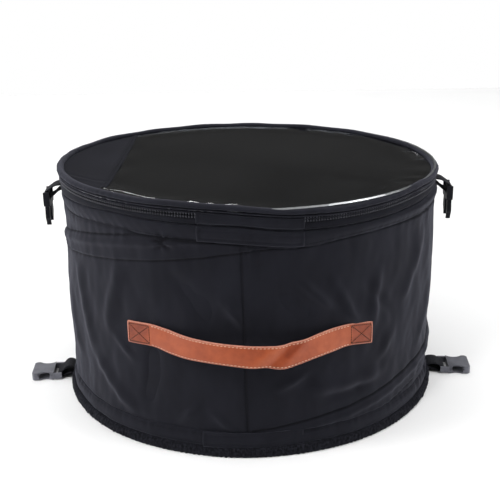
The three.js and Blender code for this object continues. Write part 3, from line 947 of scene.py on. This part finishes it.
def hem_patch(name, foot, top, span, crown, lifts, look, node, body):
    """A folded cloth strip sewn over a hem's join. foot and top hold its heights at each angle, crown holds
    (share of the height, radius), and lifts is how far its two ends stand off the hem."""
    deg, z = np.meshgrid(np.linspace(*span, 60), np.linspace(0, 1, 18), indexing="ij")
    foot, top = foot(deg), top(deg)
    height = foot + (top - foot) * z
    out = np.interp(z, *zip(*crown)) + np.interp(deg, span, lifts) + 0.10 * PUCKERS(deg, height)
    side = np.minimum(deg - span[0], span[1] - deg) * math.radians(HEM_R)
    edge = np.minimum(side, np.minimum(height - foot, top - height))
    folded = 0.6 * bump(edge - 1.4, 1.6) - 0.9 * bump(edge - 3.6, 0.8)
    out = out + np.clip(np.interp(deg, span, lifts), 0, 0.9) * folded
    obj = skin(
        name,
        polar(out, deg, height),
        np.radians(deg[:, 0]) * HEM_R,
        (top - foot).mean() * z[0],
    )
    thicken(obj, 0.75)
    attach(dress(obj, look, "cloth", node), body)


def patches(looks):
    hem_patch(
        "lower_patch",
        lambda deg: 9.6 + 0 * deg,
        lambda deg: FOOT_HIGH + 1.2 + 0 * deg,
        PATCH_ANGLE,
        [(0, 216.4), (0.16, 217.0), (0.41, 217.3), (0.66, 216.7), (1, 215.5)],
        (1.9, -0.5),
        looks["cloth"],
        "bottom_patch",
        "base",
    )
    hem_patch(
        "upper_patch",
        lambda deg: hem_seam(deg) + 0.3,
        lambda deg: HEM_HIGH + 0.6 + along_hoop(HEM_LEAN, deg),
        PATCH_ANGLE,
        [(0, 214.9), (0.33, 216.2), (0.59, 216.7), (0.84, 216.1), (1, 215.0)],
        (0.6, 0.7),
        looks["cloth"],
        "top_patch",
        "top_ring",
    )


# ---------- Wall ----------
def seam_shade(deg, z):
    """How much painted shade a point of the wall gets, from 0 to 1: a dark line along the casing's seams, the
    upper hem's seam and the wall's upright seam, and round the knot.
    """
    shade = np.zeros(z.shape)
    for low, high in casings(deg):
        shade = shade + 0.7 * bump(z - low, 0.95) + 0.65 * bump(z - high, 0.95)
    across = off_seam(deg, z)
    shade = shade + hem_seam_weight(deg) * bump(z - hem_seam(deg) + 0.4, 1.3)
    return np.clip(shade + 0.3 * bump(across, 0.7) + knot_shade(deg, z), 0, 1)


def store_tone_and_painted_shade(obj, values):
    """Stores how dark each corner of a piece is painted, which its material reads: painted shade in seams,
    grooves and creases, a painted highlight beside the handle's fold, and the handle's darker sewn ends.
    """
    shade = obj.data.attributes.new("shade", "FLOAT", "POINT")
    shade.data.foreach_set("value", np.asarray(values, np.float32).ravel())


def wall(looks):
    even = -180 + 360 * np.arange(WALL_COLUMNS) / WALL_COLUMNS
    degs = np.unique(np.round(np.concatenate([even, np.arange(-5.0, 2.0, 0.22)]), 3))
    share = np.concatenate([np.linspace(0, 1, WALL_ROWS), np.linspace(1, 0, 6)])
    deg, share = np.meshgrid(degs, share, indexing="ij")
    z = WALL_LOW + 0.3 + (hem_seam(deg) + 0.8 - WALL_LOW) * share
    outside = np.arange(z.shape[1]) < WALL_ROWS
    points = polar(np.where(outside, wall_out(deg, z), wall_even(deg, z) - 1.9), deg, z)
    around = np.radians(np.append(degs, degs[0] + 360)) * WALL_R
    obj = skin("wall_cloth", points, around, lengths(points[0]), True, True)
    # The wall's seams get painted shade, stored for its material.
    store_tone_and_painted_shade(obj, np.where(outside, seam_shade(deg, z), 0.0).ravel())
    follow_wall(dress(obj, looks["cloth"], "cloth", "wall"))


def helix(looks):
    """The casing's tape inside the wall, with the spring wire in its tunnel."""
    travel = np.linspace(-25.0, 345.0, 740)
    middle = (seam_height(CASING_LOW, travel) + seam_height(CASING_HIGH, travel)) / 2
    section = rounded([
        (211.6, -13), (211.6, -6), (209.2, -3.4), (207.6, 0), (209.2, 3.4), (211.6, 6), (211.6, 13),
        (210.9, 13), (210.8, 6.2), (208.3, 3.6), (206.8, 0), (208.3, -3.6), (210.8, -6.2), (210.9, -13),
    ][::-1], 1)
    deg = -travel[::-1, None]
    z = middle[::-1, None] + section[None, :, 1]
    r = section[None, :, 0] + 0.12 * PUCKERS(deg, z) + 0 * z
    along = np.concatenate([np.radians(travel) * WALL_R, [2 * math.pi * WALL_R]])
    tape = skin("helix_casing", polar(r, deg, z), along, lengths(section), False, True, caps=True)
    trim(tape, FOOT_HIGH + 0.6, HEM_LOW - 0.6)
    follow_wall(dress(tape, looks["lining"], "cloth", "helix_tape"))

    a = np.radians(np.arange(10) * 36.0)
    tube = np.stack([210.4 + 1.5 * np.cos(a), 1.5 * np.sin(a)], axis=1)
    z = middle[::-1, None] + tube[None, :, 1]
    wire = skin(
        "helix_spring", polar(tube[None, :, 0] + 0 * z, deg, z), along, lengths(tube), False, True, caps=True
    )
    trim(wire, FOOT_HIGH + 0.6, HEM_LOW - 0.6)
    follow_wall(dress(wire, looks["wire"], "spring_wire", "helix_wire"))


def trim(obj, low, high):
    """Cuts a piece off level at two heights, and closes the cuts."""
    mesh = bmesh.new()
    mesh.from_mesh(obj.data)
    for height, up in ((low, -1), (high, 1)):
        whole = mesh.verts[:] + mesh.edges[:] + mesh.faces[:]
        made = bmesh.ops.bisect_plane(
            mesh, geom=whole, plane_co=(0, 0, height * MM), plane_no=(0, 0, up), clear_outer=True
        )
        edges = [g for g in made["geom_cut"] if isinstance(g, bmesh.types.BMEdge)]
        bmesh.ops.holes_fill(mesh, edges=edges, sides=0)
    mesh.to_mesh(obj.data)
    mesh.free()


def wall_stitches(looks):
    """Thread along the helix casing's seams and up the wall's own seam."""
    travel = np.linspace(-40, 360, 1500)
    lines = []
    for knots in (CASING_LOW, CASING_HIGH):
        z = seam_height(knots, travel)
        keep = (z > FOOT_HIGH + 1.5) & (z < HEM_LOW + 2)
        deg, z = -travel[keep], z[keep]
        lines.append(polar(wall_out(deg, z) + 0.15, deg, z))
    z = np.linspace(FOOT_HIGH + 2, HEM_LOW + 1, 300)
    deg = seam_angle(z) + 0.35
    lines.append(polar(wall_out(deg, z) + 0.1, deg, z))
    follow_wall(dress(stitches("wall_seams", lines), looks["black_thread"], "cloth"))


# ---------- Zip ----------
def wavy_tape(deg, r, z):
    return r + 0.18 * BROAD(deg, z * 0.5) + 0.05 * CREASES(deg, z), z + lean(deg, z)


def zip_pieces(looks):
    span = (PATCH_ANGLE[1] - 0.3, 360.0 + PATCH_ANGLE[0] + 0.3)
    half_gap = 0.6
    tooth_from, tooth_to = 0.3, 2.8
    tapes = [
        (
            "zip_tape_lower",
            [
                (211.8, 241.0), (211.8, 244.0), (214.9, 244.4), (216.5, 245.6), (216.6, 248.4),
                (TAPE_R + 0.3, 251.0), (TAPE_R, ZIP_MIDDLE - half_gap),
                (TAPE_R - 0.7, ZIP_MIDDLE - half_gap), (TAPE_R - 0.6, 250.8), (215.6, 248.0),
                (214.6, 245.6), (211.0, 244.8), (211.0, 241.0),
            ],
            "zip_tape_box",
            "top_ring",
        ),
        (
            "zip_tape_upper",
            [
                (TAPE_R - 0.7, ZIP_MIDDLE + half_gap), (TAPE_R, ZIP_MIDDLE + half_gap),
                (TAPE_R + 0.1, 259.0), (TAPE_R - 0.3, 260.6), (TAPE_R - 1.0, 260.6), (TAPE_R - 0.7, 259.0),
            ],
            "zip_tape_lid",
            "lid",
        ),
    ]
    for name, section, node, body in tapes:
        tape = band(name, rounded(section, 1), 540, span, wavy_tape)
        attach(dress(tape, looks["zip_tape"], "zip_tape", node), body)

    pitch = 2.9
    long = math.radians(span[1] - span[0]) * TEETH_R
    count = int(long / pitch)
    for side, name, node, body in (
        (-1, "zip_coil_lower", "zip_teeth_box", "top_ring"),
        (1, "zip_coil_upper", "zip_teeth_lid", "lid"),
    ):
        deg = span[0] + (np.arange(count) + 0.5) * (span[1] - span[0]) / count
        middle = ZIP_MIDDLE + side * (tooth_to + tooth_from) / 2 + lean(deg, ZIP_MIDDLE)
        places = polar(TEETH_R + 0.18 * BROAD(deg, 120), deg, middle)
        up = np.broadcast_to([0.0, 0.0, 1.0], places.shape)
        out = outward(places)
        verts, faces = pill(tooth_to - tooth_from, 1.8, 2.8)
        coil = copies(name, verts, faces, places, frames_of(up, out))
        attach(dress(coil, looks["coil"], "zip_teeth", node), body)

    lines = []
    for z, r in ((ZIP_MIDDLE - 4.3, TAPE_R + 0.1), (247.0, 216.4)):
        deg = np.linspace(*span, 900)
        lines.append(polar(r + 0.18 * BROAD(deg, z * 0.5) + 0.05, deg, z + lean(deg, z)))
    seams = stitches("zip_tape_seams", lines, long=2.2, thick=0.45)
    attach(dress(seams, looks["black_thread"], "zip_tape"), "top_ring")


def hinge(looks):
    """The cloth that joins the lid to the box at the front, where the zip stops."""
    low, high = 243.0, 260.6
    deg, t = np.meshgrid(np.linspace(*PATCH_ANGLE, 70), np.linspace(0, 1, 26), indexing="ij")
    z = low + (high - low) * t
    out = np.interp(z, [243, 244.6, 246.6, 252, 258, 261], [211.9, 213.6, 216.9, 217.2, 216.7, 215.6])
    out = out + 0.22 * BROAD(deg * 3, z) + 0.12 * CREASES(deg * 2, z)
    side = np.minimum(deg - PATCH_ANGLE[0], PATCH_ANGLE[1] - deg) * math.radians(HEM_R)
    out = out + 0.5 * bump(side - 1.2, 1.5) - 0.5 * bump(side - 3.8, 0.9)
    points = polar(out, deg, z + lean(deg, z))
    obj = skin("hinge_cloth", points, np.radians(deg[:, 0]) * HEM_R, (high - low) * t[0])
    thicken(obj, 1.0)
    dress(obj, looks["cloth"], "cloth", "hinge_panel")
    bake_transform(obj)


# ---------- Lid ----------
def piping(looks):
    r0 = PIPING_MIDDLE_R
    section = rounded([
        (r0 - 2.4, 259.8), (r0 - 0.6, 257.8), (r0 + 1.4, 257.5), (r0 + 2.5, 258.6), (r0 + 0.3, 259.9),
        (r0 + 2.9, 260.5), (r0 + 3.3, 261.7), (r0 + 0.9, 262.7), (r0 + 3.6, 263.1), (r0 + 4.3, 264.9),
        (r0 + 3.4, 267.2), (r0 + 0.4, 268.4), (r0 - 2.8, 267.4), (r0 - 4.2, 265.4), (r0 - 3.6, 263.4),
        (r0 - 2.6, 262.0),
    ])

    def wrinkled(deg, r, z):
        top = smooth((z - 261) / 3)
        dr = 0.16 * CREASES(deg, z * 2) + 0.12 * PUCKERS(deg, z) * (1 - top) + 0.12 * top * PUCKERS(deg, z)
        z = z + 0.25 * top * BROAD(deg * 2, 40) + along_hoop(LID_LEAN, deg)
        return r + dr + 0.35 * BROAD(deg, 200), z

    roll = band("lid_roll", section, 720, shape=wrinkled)
    # Painted shade in the grooves between the piping's rolls, on its outer face.
    grooves = [(257.6, 0.7), (259.8, 0.6), (262.5, 0.6)]
    depth = sum(bump(section[:, 1] - z, width) for z, width in grooves)
    store_tone_and_painted_shade(roll, np.tile(depth * (section[:, 0] > r0 - 1), 720))
    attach(dress(roll, looks["piping"], "cloth", "lid_piping"), "lid")


def lid_surface(x, y):
    """Height of the lid's cloth and window."""
    r = np.hypot(x, y)
    rim = smooth((LID_R - r) / 40)
    wavy = np.sin(x * 0.021 + 0.8 * np.sin(y * 0.013)) * np.cos(y * 0.026 + 0.5)
    tilt = along_hoop(LID_LEAN, np.degrees(np.arctan2(x, -y))) * (r / LID_R) ** 2
    return LID_TOP - 0.5 + rim * (0.45 * wavy - 1.6) + tilt


def lid_grid(name, x_low, x_high, columns, rows, height):
    """A sheet that fills the lid's disc between two straight lines across it."""
    s = np.linspace(0, 1, columns)
    x = x_low + (x_high - x_low) * s
    half = np.sqrt(np.maximum(LID_R**2 - x**2, 0.4))
    t = np.linspace(-1, 1, rows)
    xx = np.repeat(x[:, None], rows, axis=1)
    yy = half[:, None] * t[None, :]
    points = np.stack([xx, yy, height(xx, yy)], axis=-1)
    return skin(name, points, np.append(x, x[-1]), np.append(t, t[-1]) * LID_R)


def lid_pieces(looks):
    edge_x = -LID_R + 0.15

    def cloth_height(x, y):
        from_seam = CHORD_X - x
        z = lid_surface(x, y) - 1.3 * smooth(from_seam / 25) * smooth((LID_R - np.hypot(x, y)) / 30)
        z = z + 0.8 * bump(from_seam - 2.5, 2.5) - 0.5 * bump(from_seam - 6.0, 1.0)
        crease = (y + 95) * 0.8 + (x + 175) * 0.5
        z = z + 0.9 * bump(crease, 5) * bump(x + 178, 30) - 0.7 * bump(crease - 9, 4) * bump(x + 172, 26)
        return z + 0.25 * np.sin(x * 0.05 + y * 0.03) * np.sin(y * 0.04)

    panel = lid_grid("lid_cloth", edge_x, CHORD_X + 1.0, 60, 220, cloth_height)
    thicken(panel, 0.9)
    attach(dress(panel, looks["lid_cloth"], "cloth", "lid_panel"), "lid")

    def window_height(x, y):
        r = np.hypot(x, y)
        deg = np.degrees(np.arctan2(x, -y))
        inside = LID_R - r
        crest = 8 + 2.5 * np.sin(np.radians(deg) * 11 + 1.3 * BROAD(deg, 0))
        front = 0.35 + 0.65 * smooth((np.cos(np.radians(deg)) + 0.2) / 0.8)
        swell = 1.1 + 0.4 * BROAD(deg, 20) + 1.3 * bump(turn(deg + 28), 17)
        roll = swell * bump(inside - crest, 4.5) * front * (1 - 0.6 * smooth((turn(deg) + 4) / 12))
        waves = 0.45 * np.sin(np.radians(deg) * 31 + 2 * BROAD(deg, 0)) * bump(inside - 9, 10)
        pulled = 0.4 * bump(x - CHORD_X - 8, 10) * np.sin(y * 0.07)
        return lid_surface(x, y) + roll + waves + pulled - 0.2

    window = lid_grid("lid_clear", CHORD_X - 3.0, LID_R - 0.15, 150, 190, window_height)
    thicken(window, 0.5)
    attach(dress(window, looks["clear"], "clear_window", "lid_window"), "lid")

    def up(points):
        return np.broadcast_to([0.0, 0.0, 1.0], points.shape)

    y = np.linspace(-1, 1, 300) * (math.sqrt(LID_R**2 - CHORD_X**2) - 3)
    x = np.full(y.shape, CHORD_X - 2.6)
    line = np.stack([x, y, cloth_height(x, y) + 0.1], axis=1)
    seam = stitches("lid_seam", [line], up, long=2.4, thick=0.5)
    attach(dress(seam, looks["black_thread"], "cloth"), "lid")


# ---------- Handle ----------
def strap_lift(deg):
    """How far the strap stands off the wall at an angle from the front."""
    free = np.clip(np.abs(deg) / STRAP_FREE, 0, 1)
    return STRAP_BULGE * np.cos(np.pi / 2 * free) ** 2


def strap_middle(deg):
    """Height of the strap's middle line."""
    at, height = zip(*STRAP_LINE)
    return np.mean([np.interp(deg + k, at, height) for k in (-2, -1, 0, 1, 2)], axis=0)


def strap_surface(deg, across):
    """A point on the strap's face: across runs from -1 at its lower edge to 1 at its upper edge."""
    deg, across = np.broadcast_arrays(np.asarray(deg, float), np.asarray(across, float))
    fold = deg - 7.0 - 3.2 * across
    dent = -2.2 * bump(fold, 1.7) + 1.2 * bump(fold - 4.0, 2.4) + 0.6 * bump(fold + 3.6, 2.0)
    half = STRAP_WIDE / 2 * (1 - 0.035 * bump(fold, 3) - 0.08 * bump(deg, 20))
    below = np.clip(-across, 0, 1)
    raised = 1.6 * bump(deg + 9, 8) - 1.3 * np.clip(1 - np.abs(deg - 8.6) / 7, 0, 1)
    free = smooth(strap_lift(deg) / 4)
    tilt = -1.6 * across * free
    crown = 0.45 * (1 - across**4)
    r = WALL_R + 0.5 + strap_lift(deg) + STRAP_THICK - 0.45 + crown + tilt + dent * free
    return r, strap_middle(deg) + half * across + raised * below * free


def handle(looks):
    degs = np.linspace(-STRAP_END + 0.3, STRAP_END - 0.3, 200)
    face = np.concatenate([[-1, -0.95], np.linspace(-0.88, 0.88, 15), [0.95, 1]])
    across = np.concatenate([face, [1.03, 1.03], np.linspace(1, -1, 9), [-1.03, -1.03]])
    back = np.full(9, STRAP_THICK - 0.3)
    depth = np.concatenate([[0.15], np.zeros(17), [0.15, 0.6, 1.6], back, [1.6, 0.6]])
    deg, side = np.meshgrid(degs, across, indexing="ij")
    r, z = strap_surface(deg, side)
    points = polar(r - depth[None, :], deg, z)
    lengths_along = np.append(np.radians(degs) * STRAP_R, 0)
    obj = skin("handle_strap", points, lengths_along, lengths(points[0]), False, True, caps=True)
    dress(obj, looks["leather"], "strap_leather", "handle_grip", "handle_end_left", "handle_end_right")
    # Painted shade on the strap: darker left of its middle, in the fold's crease and along its lower edge,
    # with a painted highlight just left of the crease; the sewn ends are darker too.
    darker_ends_and_painted_shade = 0.45 * smooth((np.abs(deg) - 28.3) / 0.6) + 0.2 * bump(deg + 12, 9)
    fold = 0.5 * bump(deg - 9.0 - 3.2 * side, 1.6) + 0.3 * smooth((-side - 0.75) / 0.2)
    store_tone_and_painted_shade(obj, (darker_ends_and_painted_shade + fold - 0.25 * bump(deg - 4.0 - 3.2 * side, 2.0)).ravel())
    obj.data.materials.append(looks["raw_edge"])
    pale = np.abs(across + np.roll(across, -1)) / 2 > 0.96
    for k, polygon in enumerate(obj.data.polygons):
        column, row = divmod(k, len(across))
        if column in (0, len(degs) - 2, len(degs) - 1) or pale[row]:
            polygon.material_index = 1
    blend_strap(obj)

    inner, outer = 28.3, 35.2
    run = np.linspace(-inner + 0.6, inner - 0.6, 300)
    dashes = [polar(*strap_on(run, side)) for side in (0.87, -0.87)]
    cream = stitches("handle_stitches", dashes, pitch=3.9, long=2.6, thick=0.6, lift=0.05)
    blend_strap(dress(cream, looks["cream_thread"], "strap_leather"))

    boxes = []
    for low, high in ((-outer, -inner), (inner, outer)):
        ring = [(low, -0.82), (high, -0.82), (high, 0.82), (low, 0.82), (low, -0.82)]
        for (a, s), (b, t) in zip(ring, ring[1:]):
            boxes.append(strap_line(a, s, b, t))
        boxes.append(strap_line(low, -0.82, high, 0.82))
        boxes.append(strap_line(low, 0.82, high, -0.82))
    brown = stitches("handle_box_stitches", boxes, pitch=2.6, long=2.3, thick=0.95, lift=0.15)
    blend_strap(dress(brown, looks["brown_thread"], "strap_leather"))


def strap_on(deg, across):
    r, z = strap_surface(deg, across)
    return r, deg, z


def strap_line(a, s, b, t):
    return polar(*strap_on(np.linspace(a, b, 24), np.linspace(s, t, 24)))


def blend_strap(obj):
    """Bakes a strap piece's placement into its mesh."""
    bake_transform(obj)


# ---------- Webbing and buckles ----------
def strap_loop(name, path, angle, thick, look, node, body):
    """Webbing that leaves the box at an angle, goes round a buckle's bar and comes back.
    path holds (radius, height) corners."""
    line = rounded(path, 2, closed=False)
    way = np.gradient(line, axis=0)
    way /= np.linalg.norm(way, axis=1, keepdims=True)
    left = np.stack([-way[:, 1], way[:, 0]], axis=1) * thick / 2
    width = np.array([-12.5, -12.1, -8, -3, 3, 8, 12.1, 12.5])
    edge = np.array([0.35, 0.9, 1, 1, 1, 1, 0.9, 0.35])
    side = 1 if angle > 0 else -1
    ring_y = np.concatenate([width, width[::-1]]) * side
    ring_k = np.concatenate([edge, -edge])
    points = line[:, None, :] + left[:, None, :] * ring_k[None, :, None]
    out, along = polar(1.0, angle, 0.0), polar(1.0, angle + 90, 0.0)
    grid = points[..., :1] * out + ring_y[None, :, None] * along * side
    grid[..., 2] = points[..., 1]
    obj = skin(name, grid, lengths(line, closed=False), lengths(grid[0]), False, True, caps=True)
    obj.data.polygons.foreach_set("use_smooth", [True] * len(obj.data.polygons))
    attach(dress(obj, look, "webbing", node), body)
    return obj


def round_bar(x, z, radius, start, end):
    """Corners round a bar, from one angle to another, in degrees from +X towards +Z."""
    return [
        (x + radius * math.cos(math.radians(a)), z + radius * math.sin(math.radians(a)))
        for a in np.linspace(start, end, 7)
    ]


def bar_of(joint_name):
    """Angle from the front, radius and height of the bar that a buckle's webbing goes round."""
    pos = Vector(next(j for j in frame["joints"] if j["name"] == joint_name)["pos_m"]) / MM
    return math.degrees(math.atan2(pos.x, -pos.y)), math.hypot(pos.x, pos.y), pos.z


def webbing(looks):
    for word in ("right", "left"):
        angle, bar, z = bar_of(f"buckle_swing_{word}")
        leaving = [(215.5, 244.4), (219, 244.8), (225.5, 243.6), (bar - 3, z + 5.2)]
        coming = [(bar - 3.4, z - 4.0), (226.0, z - 1.6), (220.6, 238.0), (216.6, 239.6)]
        path = leaving + round_bar(bar, z, 2.75, 75, -110) + coming
        name, node = f"upper_webbing_{word}", f"buckle_loop_{word}"
        strap_loop(name, path, angle, 1.3, looks["webbing"], node, "top_ring")

        angle, bar, z = bar_of(f"base_buckle_lift_{word}")
        arch = 0.6 if word == "right" else 4.6
        leaving = [(217.4, 9.0), (221.5, 10.4 + arch), (228.5, 10.8 + arch), (bar - 3.4, z + 4.4)]
        coming = [(bar - 3.4, z - 2.9), (228.5, 3.0 + 0.5 * arch), (222, 4.6 + 0.6 * arch), (217.4, 5.0)]
        path = leaving + round_bar(bar, z, 2.75, 80, -100) + coming
        name, node = f"lower_webbing_{word}", f"base_strap_{word}"
        strap_loop(name, path, angle, 1.3, looks["webbing"], node, "base")


def hard_pieces(looks):
    """CAD nodes whose shape is right: they keep it, with rounded edges and a real finish."""
    nodes = frame["nodes"]
    for name, node in nodes.items():
        if name.startswith("buckle_") and "loop" not in name:
            finish_node(node, looks["female_buckle" if "female" in name else "male_buckle"])
            soften(node, 0.7, 3)
        elif name.startswith(("zip_slider", "zip_pull")):
            finish_node(node, looks["enamel"])
            soften(node, 0.35, 2)
        elif name.endswith("_wire") and name != "helix_wire":
            finish_node(node, looks["wire"])
    finish_node(nodes["base_board"], looks["board"])


def finish_node(node, look):
    node.data.materials.clear()
    node.data.materials.append(look)


def make_looks():
    return {
        "cloth": cloth_look("black_cloth", 0.0024, 0.0090, sheen=0.13),
        "lid_cloth": cloth_look("smooth_lid_cloth", 0.0030, 0.0085, sheen=0.02, shine=0.07),
        "piping": cloth_look("piping_cloth", 0.004, 0.012, pitch=0.55, sheen=0.12),
        "lining": cloth_look("lining_cloth", 0.003, 0.008, pitch=0.5, sheen=0.02, shine=0.05),
        "binding": binding_look("binding_knit"),
        "zip_tape": cloth_look("zip_tape_twill", 0.0026, 0.009, pitch=0.45, sheen=0.06, rough=0.7, shine=0.1),
        "webbing": webbing_look("black_webbing", 0.002, 0.010),
        "coil": plastic_look("zip_coil_nylon", 0.010, 0.03, 0.34, 0.4),
        "leather": leather_look("tan_leather"),
        "raw_edge": raw_edge_look("strap_edge"),
        "cream_thread": thread_look("cream_thread", (0.52, 0.34, 0.24), (0.78, 0.60, 0.47)),
        "brown_thread": thread_look("brown_thread", (0.05, 0.013, 0.006), (0.12, 0.035, 0.016)),
        "black_thread": thread_look("black_thread", (0.001, 0.001, 0.0015), (0.004, 0.004, 0.005), 0.08),
        "male_buckle": plastic_look("dark_buckle_plastic", 0.002, 0.007, 0.45, 0.14),
        # The female halves get a lighter grey than the male halves' black plastic: painted light, for the
        # light on their upturned tops.
        "female_buckle": plastic_look("buckle_plastic_painted_lighter", 0.06, 0.13, 0.4),
        "enamel": metal_look("black_enamel", (0.03, 0.03, 0.032), 0.35),
        "wire": metal_look("spring_steel", (0.32, 0.33, 0.34), 0.3),
        "board": plastic_look("grey_board", 0.02, 0.04, 0.7),
        "clear": clear_look("clear_pvc"),
    }


add_camera()
add_studio()
looks = make_looks()
base_pieces(looks)
bottom_hem(looks)
top_hem(looks)
wall(looks)
helix(looks)
wall_stitches(looks)
patches(looks)
zip_pieces(looks)
hinge(looks)
piping(looks)
lid_pieces(looks)
handle(looks)
webbing(looks)
hard_pieces(looks)
